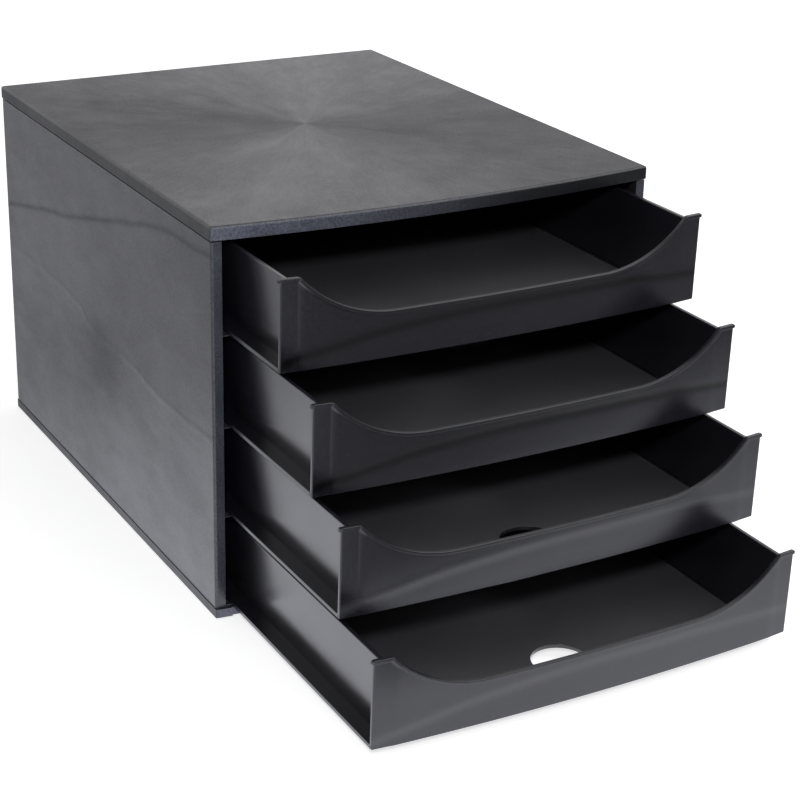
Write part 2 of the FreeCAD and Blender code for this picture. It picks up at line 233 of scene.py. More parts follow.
def top_edge():
    """Points along the right half of the front's top edge: x, z and the direction into the material."""
    centre_z = SCOOP_Z + SCOOP_R
    corner_z = FRONT_H - EAR_CORNER_R
    reach = SCOOP_R + EAR_CORNER_R
    corner_x = SCOOP_FLAT_X + math.sqrt(reach**2 - (centre_z - corner_z) ** 2)
    turn = math.asin((corner_x - SCOOP_FLAT_X) / reach)
    points = [(SCOOP_FLAT_X * i / SCOOP_FLAT_STEPS, SCOOP_Z, 0.0, -1.0) for i in range(SCOOP_FLAT_STEPS)]
    for i in range(SCOOP_STEPS + 1):
        a = turn * i / SCOOP_STEPS
        x = SCOOP_FLAT_X + SCOOP_R * math.sin(a)
        points.append((x, centre_z - SCOOP_R * math.cos(a), math.sin(a), -math.cos(a)))
    for i in range(1, EAR_CORNER_STEPS + 1):
        a = turn * (1 - i / EAR_CORNER_STEPS)
        x = corner_x - EAR_CORNER_R * math.sin(a)
        points.append((x, corner_z + EAR_CORNER_R * math.cos(a), math.sin(a), -math.cos(a)))
    end_x = TRAY_HALF_W - FRONT_EDGE_R
    for i in range(1, EAR_STEPS + 1):
        points.append((corner_x + (end_x - corner_x) * i / EAR_STEPS, FRONT_H, 0.0, -1.0))
    return points


def front_section(inset):
    """Section of the front as kind, value and depth, shrunk by an inset.

    A value of the kind "z" is a height, "share" is a part of the way up to the rim, and "n" and "rim" are distances
    from the top edge.
    """
    face = inset
    rear = FRONT_THICK - inset
    rim_face = -RIM_PROUD + inset
    roll = RIM_ROLL_R - inset
    back = RIM_REAR_R - inset * 0.5
    step = RIM_STEP_R
    section = [("z", inset, rear), ("z", inset, face + FRONT_EDGE_R)]
    for a in quarter(0, EDGE_STEPS)[1:]:
        section.append(("z", inset + FRONT_EDGE_R * (1 - math.cos(a)), face + FRONT_EDGE_R * (1 - math.sin(a))))
    section += [("share", share, face) for share in FACE_SHARES]
    section.append(("n", RIM_H + step, face))
    section.append(("n", RIM_H + step * ROUND_SHARE, face - RIM_PROUD * ROUND_SHARE))
    section.append(("rim", RIM_H - step * ROUND_SHARE, rim_face + RIM_PROUD * ROUND_SHARE / 2))
    section.append(("rim", RIM_H - step, rim_face))
    for a in quarter(0, ROLL_STEPS):
        section.append(("rim", inset + roll * (1 - math.sin(a)), rim_face + roll * (1 - math.cos(a))))
    for a in quarter(0):
        section.append(("rim", inset + back * (1 - math.cos(a)), rear - back * (1 - math.sin(a))))
    section += [("rim", RIM_H, rear), ("n", RIM_H + step, rear)]
    section += [("share", share, rear) for share in REAR_SHARES]
    return section


def front_ring(x, z, nx, nz, inset, lip=0.0):
    """Ring of the front at a point of its top edge, shrunk by an inset; the rim ends a lip further out."""
    base_x = x + nx * (RIM_H + RIM_STEP_R)
    base_z = z + nz * (RIM_H + RIM_STEP_R)
    ring = []
    for kind, value, depth in front_section(inset):
        if kind in ("n", "rim"):
            px = x + nx * value
            pz = z + nz * value
        else:
            px = base_x
            pz = value if kind == "z" else FRONT_EDGE_R + (base_z - FRONT_EDGE_R) * value
        out = lip if kind == "rim" else 0.0
        ring.append((px + out, front_plan(px) - FRONT_LEAN * pz / FRONT_H + depth, pz))
    return ring


def tray_front():
    """Bowed front with its rim, closed by rounded ends."""
    half = [front_ring(x, z, nx, nz, 0.0) for x, z, nx, nz in top_edge()]
    turns = quarter(0, EDGE_STEPS)[1:]
    for i, a in enumerate(turns):
        x = TRAY_HALF_W - FRONT_EDGE_R * (1 - math.sin(a))
        lip = RIM_SIDE * (i + 1) / len(turns)
        half.append(front_ring(x, FRONT_H, 0.0, -1.0, FRONT_EDGE_R * (1 - math.cos(a)), lip))
    mirrored = [[(-x, y, z) for x, y, z in ring] for ring in half[:0:-1]]
    return loft(mirrored + half)


# Tray walls and floor


def wall_path():
    """Stations along the foot of the walls' outer face: x, y and the direction into the tray."""
    rear = TRAY_LENGTH - WALL_DRAFT - REAR_WALL_INSET
    centre_x = WALL_FOOT_X - REAR_CORNER_R
    centre_y = rear - REAR_CORNER_R
    right = [(WALL_FOOT_X, 0.0, -1.0, 0.0)]
    for i in range(WALL_STEPS + 1):
        right.append((WALL_FOOT_X, WALL_START_Y + (centre_y - WALL_START_Y) * i / WALL_STEPS, -1.0, 0.0))
    for a in quarter(0, WALL_CORNER_STEPS)[1:]:
        px = centre_x + REAR_CORNER_R * math.cos(a)
        py = centre_y + REAR_CORNER_R * math.sin(a)
        right.append((px, py, -math.cos(a), -math.sin(a)))
    left = [(-px, py, -nx, ny) for px, py, nx, ny in right[::-1]]
    return right + left


def wall_section():
    """Section of the wall as inset from its outer face and height, with the top bead and the foot's fillet."""
    t = TRAY_WALL
    bead = TRAY_WALL + BEAD_PROUD
    r = WALL_TOP_R
    foot = WALL_FOOT_R
    under = WALL_TOP_Z - BEAD_H
    steps = WALL_RISE_STEPS
    section = [(0.0, TRAY_FLOOR / 2)]
    section += [(0.0, TRAY_FLOOR + (WALL_TOP_Z - r - TRAY_FLOOR) * i / steps) for i in range(steps + 1)]
    section += [(r * (1 - math.cos(a)), WALL_TOP_Z - r * (1 - math.sin(a))) for a in quarter(0)[1:]]
    section += [(bead - r * (1 - math.sin(a)), WALL_TOP_Z - r * (1 - math.cos(a))) for a in quarter(0)]
    section += [(bead, under + r), (bead - r * ROUND_SHARE, under + r * ROUND_SHARE)]
    section += [(bead - r, under), (t, under - BEAD_UNDERCUT)]
    section += [(t, under - (under - TRAY_FLOOR - foot) * i / steps) for i in range(1, steps + 1)]
    for a in quarter(0)[1:]:
        section.append((t + foot * (1 - math.cos(a)), TRAY_FLOOR + foot * (1 - math.sin(a))))
    section.append((t + foot, TRAY_FLOOR / 2))
    return section


def tray_walls():
    """Side and rear walls in one run, flaring outwards as they rise, with both ends inside the front."""
    rings = []
    stations = wall_path()
    for number, (px, py, nx, ny) in enumerate(stations):
        at_front = number in (0, len(stations) - 1)
        ring = []
        for inset, z in wall_section():
            move = inset - WALL_DRAFT * z / WALL_TOP_Z
            x = px + nx * move
            y = py + ny * move
            if at_front:
                y = front_plan(x) + FRONT_THICK / 2 - FRONT_LEAN * z / FRONT_H
            ring.append((x, y, z))
        rings.append(ring)
    return loft(rings)


def floor_outline(inset):
    """Plan of the floor and its side flanges, with the front edge inside the front's thickness."""
    x = TRAY_HALF_W - inset
    y = TRAY_LENGTH - inset
    r = FLANGE_REAR_R - inset
    points = []
    for i in range(FLOOR_FRONT_STEPS + 1):
        px = -x + 2 * x * i / FLOOR_FRONT_STEPS
        points.append((px, front_plan(px) + FRONT_THICK / 2 + inset))
    return points + corner(x - r, y - r, r, 0) + corner(-x + r, y - r, r, 90)


def hole_outline(grow):
    """Plan of the thumb hole, grown by an amount."""
    r = THUMB_R + grow
    turns = [2 * math.pi * i / HOLE_STEPS for i in range(HOLE_STEPS)]
    return [(r * math.cos(a), THUMB_Y + r * math.sin(a)) for a in turns]


def edge_profile():
    """Inset and height round the floor's rounded outer edge, from its top face to its underside."""
    r = FLOOR_EDGE_R
    turns = quarter(0, EDGE_STEPS)
    upper = [(r * (1 - math.sin(a)), TRAY_FLOOR - r * (1 - math.cos(a))) for a in turns]
    lower = [(r * (1 - math.cos(a)), r * (1 - math.sin(a))) for a in turns]
    return upper + lower


def tray_floor():
    """Floor plate with rounded edges and a rounded thumb hole."""
    shape = bmesh.new()
    caps = {0: [], -1: []}
    profile = edge_profile()
    for outline in (floor_outline, hole_outline):
        loops = []
        for inset, z in profile:
            loops.append([shape.verts.new((x, y, z)) for x, y in outline(inset)])
        for upper, lower in zip(loops, loops[1:]):
            for i in range(len(upper)):
                k = (i + 1) % len(upper)
                shape.faces.new((upper[i], upper[k], lower[k], lower[i]))
        for end, edges in caps.items():
            loop = loops[end]
            edges += [shape.edges.get((loop[i], loop[(i + 1) % len(loop)])) for i in range(len(loop))]
    for edges in caps.values():
        bmesh.ops.triangle_fill(shape, edges=edges, use_beauty=True)
    shape.verts.ensure_lookup_table()
    shape.verts.index_update()
    verts = [tuple(v.co) for v in shape.verts]
    faces = [tuple(v.index for v in face.verts) for face in shape.faces]
    shape.free()
    return verts, faces


def bar_ring(x, inset, y_ends, z_ends, r):
    """Rounded rectangle across a bar at x, shrunk by an inset."""
    near = y_ends[0] + inset + r
    far = y_ends[1] - inset - r
    low = z_ends[0] + inset + r
    high = z_ends[1] - inset - r
    points = []
    for number, (y, z) in enumerate(((far, high), (near, high), (near, low), (far, low))):
        points += [(x, py, pz) for py, pz in corner(y, z, r, 90 * number, EDGE_STEPS)]
    return points


def rounded_bar(x_ends, y_ends, z_ends, r):
    """Bar along X with rounded edges and rounded ends."""
    turns = quarter(0, EDGE_STEPS)
    starts = [(x_ends[0] + r * (1 - math.cos(a)), r * (1 - math.sin(a))) for a in turns]
    ends = [(x_ends[1] - r * (1 - math.sin(a)), r * (1 - math.cos(a))) for a in turns]
    return loft([bar_ring(x, inset, y_ends, z_ends, r) for x, inset in starts + ends])


def tray_lug(side):
    """Lug at the rear of a side flange, which meets the casing's stop."""
    rear = TRAY_LENGTH - LUG_SET_BACK
    x_ends = sorted((side * (TRAY_HALF_W - FLANGE_REAR_R), side * (TRAY_HALF_W + LUG_REACH)))
    return rounded_bar(x_ends, (rear - LUG_LENGTH, rear), (0.0, LUG_H), LUG_EDGE_R)


def tray_piece(node, material):
    """A tray, in place of its node."""
    low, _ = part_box(node)
    offset = Vector((0, low[1] - NOSE_Y * MM, low[2]))
    parts = [tray_front(), tray_walls(), tray_floor(), tray_lug(-1), tray_lug(1)]
    piece = mesh_piece(node + "_moulding", parts, offset, node, material)
    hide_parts(node)


# Top panel: a plate with a turned-down band, a bowed front and a rounded upper edge


def panel_ring(box, inset, z):
    """Plan outline of the top panel, shrunk by an inset, at a height."""
    low, high = box
    radius = max(PANEL_CORNER_R - inset, PANEL_INNER_R)
    half = PANEL_HALF_W - inset
    reach = half - radius
    bow_radius = arc_radius(PANEL_HALF_W, PANEL_BOW)
    centre_y = low.y / MM + bow_radius
    front = []
    for i in range(PANEL_FRONT_STEPS + 1):
        x = reach * (2 * i / PANEL_FRONT_STEPS - 1)
        front.append((x, centre_y - math.sqrt((bow_radius - inset) ** 2 - x**2)))
    front_y = front[0][1] + radius
    rear = high.y / MM - inset
    rear_y = rear - radius
    steps = PANEL_SIDE_STEPS
    side = [(half, front_y + (rear_y - front_y) * i / steps) for i in range(1, steps)]
    back = [(reach * (1 - 2 * i / steps), rear) for i in range(1, steps)]
    outline = front + corner(reach, front_y, radius, -90)[1:]
    outline += side + corner(reach, rear_y, radius, 0)
    outline += back + corner(-reach, rear_y, radius, 90)
    outline += [(-x, y) for x, y in reversed(side)]
    outline += corner(-reach, front_y, radius, 180)[:-1]
    return [(x, y, z) for x, y in outline]


def top_moulding(material):
    """The top panel, in place of its node."""
    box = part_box("top_panel")
    top = box[1].z / MM
    band = top - PANEL_BAND_H
    ease = PANEL_LIP_R
    profile = [(PANEL_WALL, top - PANEL_PLATE), (PANEL_WALL, band + ease), (PANEL_WALL - ease, band)]
    profile += [(ease, band), (0.0, band + ease)]
    for a in quarter(0, PANEL_EDGE_STEPS):
        profile.append((PANEL_EDGE_R * (1 - math.cos(a)), top - PANEL_EDGE_R * (1 - math.sin(a))))
    rings = [panel_ring(box, inset, z) for inset, z in profile]
    piece = mesh_piece("top_panel_moulding", [loft(rings)], Vector((0, 0, 0)), "casing", material)
    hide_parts("top_panel")


# Node helpers


def node_tree(name):
    """A new material, its node tree and its Principled shader."""
    material = bpy.data.materials.new(name)
    material.use_nodes = True
    tree = material.node_tree
    return material, tree, tree.nodes["Principled BSDF"]


WHITE = (1, 1, 1, 1)
BEVEL_SAMPLES = 4


def put(tree, socket, value):
    """Sets a socket to a number, or links another node's output to it."""
    if isinstance(value, bpy.types.NodeSocket):
        tree.links.new(value, socket)
    else:
        socket.default_value = value


def math_node(tree, operation, *values):
    node = tree.nodes.new("ShaderNodeMath")
    node.operation = operation
    for socket, value in zip(node.inputs, values):
        put(tree, socket, value)
    return node.outputs[0]


def add(tree, first, second):
    return math_node(tree, "ADD", first, second)


def subtract(tree, first, second):
    return math_node(tree, "SUBTRACT", first, second)


def multiply(tree, first, second):
    return math_node(tree, "MULTIPLY", first, second)


def weighted(tree, first, second, share):
    """Mean of two values, with the given share of the second."""
    return add(tree, multiply(tree, first, 1 - share), multiply(tree, second, share))


def square_sum(tree, first, second):
    return add(tree, multiply(tree, first, first), multiply(tree, second, second))


def fade(tree, square):
    """One where a squared distance is nought, falling away as a bell curve."""
    return math_node(tree, "EXPONENT", multiply(tree, square, -1.0))


def vector_node(tree, operation, *values):
    node = tree.nodes.new("ShaderNodeVectorMath")
    node.operation = operation
    for socket, value in zip(node.inputs, values):
        put(tree, socket, value)
    return node.outputs["Value" if operation == "DISTANCE" else "Vector"]


def axes(tree, vector):
    """The x, y and z of a vector."""
    node = tree.nodes.new("ShaderNodeSeparateXYZ")
    tree.links.new(vector, node.inputs[0])
    return node.outputs


def combined(tree, x, y, z):
    """A vector from its x, y and z."""
    node = tree.nodes.new("ShaderNodeCombineXYZ")
    for socket, value in zip(node.inputs, (x, y, z)):
        put(tree, socket, value)
    return node.outputs[0]


def noise(tree, coords, scale, detail=3.0, rough=0.55, stretch=(1, 1, 1)):
    """Noise value over coordinates in metres, with its scale in cycles per metre."""
    texture = tree.nodes.new("ShaderNodeTexNoise")
    texture.inputs["Scale"].default_value = scale
    texture.inputs["Detail"].default_value = detail
    texture.inputs["Roughness"].default_value = rough
    tree.links.new(vector_node(tree, "MULTIPLY", coords, stretch), texture.inputs["Vector"])
    return texture.outputs["Fac"]


def spread(tree, value, low_in, high_in, low_out, high_out, smooth=False):
    """Value moved from one range to another, clamped."""
    node = tree.nodes.new("ShaderNodeMapRange")
    node.interpolation_type = "SMOOTHSTEP" if smooth else "LINEAR"
    for name, number in (("From Min", low_in), ("From Max", high_in), ("To Min", low_out), ("To Max", high_out)):
        node.inputs[name].default_value = number
    tree.links.new(value, node.inputs["Value"])
    return node.outputs["Result"]


def specks(tree, coords, scale, radius, share):
    """One inside small round specks in a share of the cells, and nought elsewhere."""
    cells = tree.nodes.new("ShaderNodeTexVoronoi")
    cells.inputs["Scale"].default_value = scale
    tree.links.new(coords, cells.inputs["Vector"])
    near = spread(tree, cells.outputs["Distance"], radius * scale, radius * scale * 0.5, 0, 1)
    chosen = math_node(tree, "LESS_THAN", axes(tree, cells.outputs["Color"])[0], share)
    return multiply(tree, near, chosen)


def tint(tree, factor, first, second):
    """Colour between two colours, each a constant or another node's output."""
    node = tree.nodes.new("ShaderNodeMix")
    node.data_type = "RGBA"
    put(tree, node.inputs["Factor"], factor)
    for name, colour in (("A", first), ("B", second)):
        put(tree, node.inputs[name], (*colour, 1) if isinstance(colour, tuple) else colour)
    return node.outputs["Result"]


def eased_edges(tree, radius):
    """Normal that rounds sharp edges by a small radius in metres."""
    node = tree.nodes.new("ShaderNodeBevel")
    node.samples = BEVEL_SAMPLES
    node.inputs["Radius"].default_value = radius
    return node.outputs["Normal"]


def bump(tree, height, distance, before=None):
    """Normal bent by a height from 0 to 1 that stands for a distance in metres."""
    node = tree.nodes.new("ShaderNodeBump")
    node.inputs["Distance"].default_value = distance
    tree.links.new(height, node.inputs["Height"])
    if before is not None:
        tree.links.new(before, node.inputs["Normal"])
    return node.outputs["Normal"]


def object_coords(tree):
    return tree.nodes.new("ShaderNodeTexCoord").outputs["Object"]


def own_coords(tree):
    """A tray's own coordinates, kept on its mesh."""
    node = tree.nodes.new("ShaderNodeAttribute")
    node.attribute_name = OWN_PLACE
    return node.outputs["Vector"]


def surface_normal(tree):
    return tree.nodes.new("ShaderNodeNewGeometry").outputs["Normal"]


def facing(tree, axis, low, high):
    """Nought to one as the normal's part along an axis goes from low to high."""
    return spread(tree, axes(tree, surface_normal(tree))[axis], low, high, 0, 1)


def curve_through(tree, along, points):
    """Height along a smooth line through points, all in metres."""
    low = min(a for a, b in points)
    high = max(a for a, b in points)
    base = min(b for a, b in points)
    top = max(b for a, b in points)
    node = tree.nodes.new("ShaderNodeFloatCurve")
    curve = node.mapping.curves[0]
    ordered = sorted(((a - low) / (high - low), (b - base) / (top - base)) for a, b in points)
    for _ in ordered[2:]:
        curve.points.new(0.5, 0.5)
    for point, place in zip(curve.points, ordered):
        point.location = place
    node.mapping.update()
    tree.links.new(spread(tree, along, low, high, 0, 1), node.inputs["Value"])
    return spread(tree, node.outputs["Value"], 0, 1, base, top)


def ridge(tree, across, line, half_width):
    """One on a line and falling away on both sides of it."""
    off = math_node(tree, "DIVIDE", subtract(tree, across, line), half_width)
    return fade(tree, multiply(tree, off, off))


# Plastics. Places, line widths and the distances of reliefs are in metres, and ranges are a low and a high value.

PLASTIC_IOR = 1.62
PLASTIC_SPECULAR = 0.5
NOISE_SPAN = (0.3, 0.7)
NOISE_MEAN = 0.5
CLOUD_DETAIL = 4.0
SPECK_SHAPE = (2.0, 0.7)
TURNED_AWAY = (-0.6, -0.9)

# Mottled colours: dark, light, cycles per metre of the clouds and of the specks, share of the specks
TOP_COLOUR = ((0.012, 0.012, 0.020), (0.068, 0.068, 0.082), 14.0, 800.0, 0.75)
# The front band's left and right colours are painted light and painted shade: the band is lighter at its left end and
# darker towards its right.
BAND_LIT_LEFT_COLOUR = ((0.056, 0.061, 0.086), (0.170, 0.182, 0.238), 20.0, 800.0, 0.8)
BAND_SHADED_RIGHT_COLOUR = ((0.002, 0.002, 0.004), (0.011, 0.012, 0.017), 20.0, 800.0, 0.8)
# Painted shade: the casing's faces turned to the left are coloured darker
FLANK_SHADE_COLOUR = ((0.004, 0.004, 0.006), (0.012, 0.012, 0.016), 14.0, 900.0, 0.4)
SIDE_COLOUR = ((0.004, 0.004, 0.007), (0.050, 0.050, 0.060), 12.0, 800.0, 0.75)
STILE_COLOUR = ((0.028, 0.030, 0.042), (0.085, 0.090, 0.118), 20.0, 800.0, 0.8)
TRAY_COLOUR = ((0.005, 0.005, 0.008), (0.021, 0.021, 0.028), 12.0, 1000.0, 0.6)
# The tray floor's colour is painted light: the upward-facing floor inside is coloured much lighter than the rest of
# the tray
TRAY_FLOOR_LIT_COLOUR = ((0.060, 0.060, 0.068), (0.086, 0.086, 0.096), 9.0, 900.0, 0.4)
RUBBER_COLOUR = ((0.010, 0.010, 0.010), (0.017, 0.017, 0.017), 60.0, 1500.0, 0.4)

# Noises: cycles per metre, and detail, roughness and stretch where they differ from the usual ones. The star's two
# are over directions from the gate, so their first number is not per metre.
STAR_RAYS = (5.0, 4.0, 0.6)
STAR_FINE_RAYS = (42.0, 2.0, 0.5)
CASING_SMEAR = (30.0, 5.0, 0.6)
CASING_GRAIN = (900.0, 2.0, 0.6)
SIDE_WANDER = (12.0, 2.0)
SIDE_SMEAR = (10.0, 5.0, 0.6, (1.0, 0.6, 1.5))
SIDE_BLOTCH = (90.0, 4.0, 0.65, (1.0, 0.5, 1.0))
SIDE_WAVE = (7.0, 1.0, 0.4)
SIDE_GRAIN = (1100.0, 2.0, 0.6)
TRAY_SMEAR = (16.0, 3.0, 0.5, (0.7, 1.0, 1.4))
TRAY_WAVE = (8.0, 1.0, 0.4)
TRAY_PITTING = (160.0, 3.0, 0.6)
TRAY_GRAIN = (1000.0, 2.0, 0.6)
RUBBER_SMEAR = (90.0,)
RUBBER_GRAIN = (1500.0,)


def mottled(tree, coords, dark, light, cloud_scale, speck_scale, share):
    """Colour that drifts slowly and has a fine speckle of the given share."""
    cloud = noise(tree, coords, cloud_scale, CLOUD_DETAIL)
    speck = noise(tree, coords, speck_scale, *SPECK_SHAPE)
    mix = weighted(tree, cloud, speck, share)
    return tint(tree, spread(tree, mix, *NOISE_SPAN, 0, 1, True), dark, light)


def finish(shader):
    """The constants that the plastics share."""
    shader.inputs["IOR"].default_value = PLASTIC_IOR
    shader.inputs["Specular IOR Level"].default_value = PLASTIC_SPECULAR


TOP_GATE = (0.0, 0.088, 0.0)
UP = (0.0, 0.0, 1.0)
GATE_R = 0.012
STAR_DRIFT = 2.0
FINE_RAY_SHARE = 0.4
CASING_SMEAR_SHARE = 0.4
# Where the front band's painted light fades into its painted shade, from its left end towards the right
BAND_LIGHT_FADE_X = (-0.142, 0.060)
CASING_GLOSS_SPAN = (0.28, 0.72)
CASING_ROUGH = (0.38, 0.52)
ROUNDED_FROM = (0.05, 0.25)
ROUNDED_TO = (0.97, 0.995)
EDGE_POLISH = 0.10
CASING_ANISOTROPY = 0.48
GATE_RELIEF = 0.00012
STREAK_RELIEF = 0.00010
CASING_GRAIN_RELIEF = 0.00007


def casing_colour(tree, coords):
    """Mottled top; a front band with painted light that makes it lighter towards the left and painted shade that
    makes it darker towards the right; and painted shade on the left flank.
    """
    front = facing(tree, 1, *TURNED_AWAY)
    # Painted shade on the faces turned to the left
    flank_shade = facing(tree, 0, *TURNED_AWAY)
    along = spread(tree, axes(tree, coords)[0], *BAND_LIGHT_FADE_X, 0, 1, True)
    band_lit_left = mottled(tree, coords, *BAND_LIT_LEFT_COLOUR)
    band = tint(tree, along, band_lit_left, mottled(tree, coords, *BAND_SHADED_RIGHT_COLOUR))
    colour = tint(tree, front, mottled(tree, coords, *TOP_COLOUR), band)
    return tint(tree, flank_shade, colour, mottled(tree, coords, *FLANK_SHADE_COLOUR))


def casing_plastic():
    """Matt grained plastic of the top and base, with a star of fine flow marks round the top's gate."""
    material, tree, shader = node_tree("casing_plastic")
    coords = object_coords(tree)
    put(tree, shader.inputs["Base Color"], casing_colour(tree, coords))
    radial = vector_node(tree, "SUBTRACT", coords, TOP_GATE)
    x, y, _ = axes(tree, radial)
    angle = math_node(tree, "ARCTAN2", y, x)
    reach = math_node(tree, "SQRT", square_sum(tree, x, y))
    cosine = math_node(tree, "COSINE", angle)
    sine = math_node(tree, "SINE", angle)
    star_place = combined(tree, cosine, sine, multiply(tree, reach, STAR_DRIFT))
    rays = noise(tree, star_place, *STAR_RAYS)
    streak = weighted(tree, rays, noise(tree, star_place, *STAR_FINE_RAYS), FINE_RAY_SHARE)
    gloss = weighted(tree, streak, noise(tree, coords, *CASING_SMEAR), CASING_SMEAR_SHARE)
    matt = spread(tree, gloss, *CASING_GLOSS_SPAN, *CASING_ROUGH, True)
    up = axes(tree, surface_normal(tree))[2]
    rounded_edge = multiply(tree, spread(tree, up, *ROUNDED_FROM, 0, 1), spread(tree, up, *ROUNDED_TO, 1, 0))
    put(tree, shader.inputs["Roughness"], subtract(tree, matt, multiply(tree, rounded_edge, EDGE_POLISH)))
    relief = bump(tree, spread(tree, reach, 0.0, GATE_R, 1, 0, True), GATE_RELIEF)
    relief = bump(tree, streak, STREAK_RELIEF, relief)
    relief = bump(tree, noise(tree, coords, *CASING_GRAIN), CASING_GRAIN_RELIEF, relief)
    put(tree, shader.inputs["Normal"], relief)
    shader.inputs["Anisotropic"].default_value = CASING_ANISOTROPY
    ring = vector_node(tree, "CROSS_PRODUCT", UP, radial)
    put(tree, shader.inputs["Tangent"], vector_node(tree, "NORMALIZE", ring))
    finish(shader)
    return material


# Flow lines of the left panel as y and z, and the place and size of its smudge
UPPER_FLOW = ((0.260, 0.151), (0.170, 0.173), (0.118, 0.182), (0.024, 0.206), (-0.011, 0.214), (-0.082, 0.220))
LOWER_FLOW = ((0.266, 0.115), (0.216, 0.124), (0.168, 0.126), (0.124, 0.123), (0.098, 0.114), (0.057, 0.115),
              (-0.005, 0.109), (-0.084, 0.109))
SMUDGE_Y, SMUDGE_Z = 0.082, 0.100
SMUDGE_W, SMUDGE_H = 0.030, 0.022
LEFT_PANEL_X = -0.13
WANDER_REACH = 0.010
UPPER_LINE_W = 0.0014
LOWER_LINE_W = 0.0024
TRACE_W = 0.0020
SWELL_SPAN = (-0.030, 0.004)
SIDE_BLOTCH_WEIGHT = 0.6
SIDE_SMEAR_SPAN = (0.45, 1.15)
SIDE_ROUGH = (0.285, 0.44)
SMUDGE_ROUGH = 0.20
TRACE_ROUGH = 0.16
EDGE_EASE = 0.00035
SIDE_WAVE_RELIEF = 0.0011
UPPER_LINE_RELIEF = -0.00017
LOWER_LINE_RELIEF = 0.00017
SIDE_BLOTCH_RELIEF = 0.00012
SWELL_RELIEF = 0.0007
SIDE_GRAIN_RELIEF = 0.00002


def side_plastic():
    """Semi-gloss plastic of the side and back panels: speckled stiles, and flow lines and a smudge on the left."""
    material, tree, shader = node_tree("side_plastic")
    coords = object_coords(tree)
    x, y, z = axes(tree, coords)
    panel_colour = mottled(tree, coords, *SIDE_COLOUR)
    stile_colour = mottled(tree, coords, *STILE_COLOUR)
    put(tree, shader.inputs["Base Color"], tint(tree, facing(tree, 1, *TURNED_AWAY), panel_colour, stile_colour))

    left = math_node(tree, "LESS_THAN", x, LEFT_PANEL_X)
    wander = multiply(tree, subtract(tree, noise(tree, coords, *SIDE_WANDER), NOISE_MEAN), WANDER_REACH)
    height = add(tree, z, wander)
    upper_line = curve_through(tree, y, UPPER_FLOW)
    lower_line = curve_through(tree, y, LOWER_FLOW)
    upper = multiply(tree, ridge(tree, height, upper_line, UPPER_LINE_W), left)
    lower = multiply(tree, ridge(tree, height, lower_line, LOWER_LINE_W), left)
    trace = multiply(tree, ridge(tree, height, upper_line, TRACE_W), left)
    swell = multiply(tree, spread(tree, subtract(tree, height, lower_line), *SWELL_SPAN, 0, 1, True), left)
    off_y = math_node(tree, "DIVIDE", subtract(tree, y, SMUDGE_Y), SMUDGE_W)
    off_z = math_node(tree, "DIVIDE", subtract(tree, z, SMUDGE_Z), SMUDGE_H)
    smudge = multiply(tree, fade(tree, square_sum(tree, off_y, off_z)), left)

    smear = noise(tree, coords, *SIDE_SMEAR)
    blotch = noise(tree, coords, *SIDE_BLOTCH)
    mixed = add(tree, smear, multiply(tree, blotch, SIDE_BLOTCH_WEIGHT))
    rough = spread(tree, mixed, *SIDE_SMEAR_SPAN, *SIDE_ROUGH, True)
    rough = add(tree, rough, multiply(tree, smudge, SMUDGE_ROUGH))
    rough = add(tree, rough, multiply(tree, trace, TRACE_ROUGH))
    put(tree, shader.inputs["Roughness"], rough)

    relief = bump(tree, noise(tree, coords, *SIDE_WAVE), SIDE_WAVE_RELIEF, eased_edges(tree, EDGE_EASE))
    relief = bump(tree, upper, UPPER_LINE_RELIEF, relief)
    relief = bump(tree, lower, LOWER_LINE_RELIEF, relief)
    relief = bump(tree, blotch, SIDE_BLOTCH_RELIEF, relief)
    relief = bump(tree, swell, SWELL_RELIEF, relief)
    relief = bump(tree, noise(tree, coords, *SIDE_GRAIN), SIDE_GRAIN_RELIEF, relief)
    put(tree, shader.inputs["Normal"], relief)
    finish(shader)
    return material


# Arched line across a tray front as x and z, where a reflection is painted: a dark band on the upper two trays and a
# light band on the lower two, with a slight relief along it
FRONT_ARC = ((-0.133, 0.004), (-0.100, 0.011), (-0.060, 0.017), (0.0, 0.0205), (0.060, 0.0205), (0.133, 0.0170))
ARCH_W = 0.0030
ARCH_DARK_REFLECTION = (0.002, 0.002, 0.003)
ARCH_LIGHT_REFLECTION = (0.045, 0.045, 0.052)
UPPER_TRAYS_Z = (0.112, 0.118)
FRONT_FACE_Y = (0.0022, 0.0030)
FLOOR_FACING = (0.85, 0.97)
RIM_FACING = (0.1, 0.4)
DUST = (0.45, 0.45, 0.46)
DUST_SPECKS = (75.0, 0.0007, 0.45)
TRAY_SMEAR_SPAN = (0.2, 0.8)
TRAY_ROUGH = (0.19, 0.265)
RIM_ROUGH = 0.12
TRAY_FLOOR_ROUGH = (0.40, 0.54)
TRAY_WAVE_RELIEF = 0.0006
ARCH_RELIEF = 0.00012
TRAY_PITTING_RELIEF = 0.00003
TRAY_GRAIN_RELIEF = 0.000012


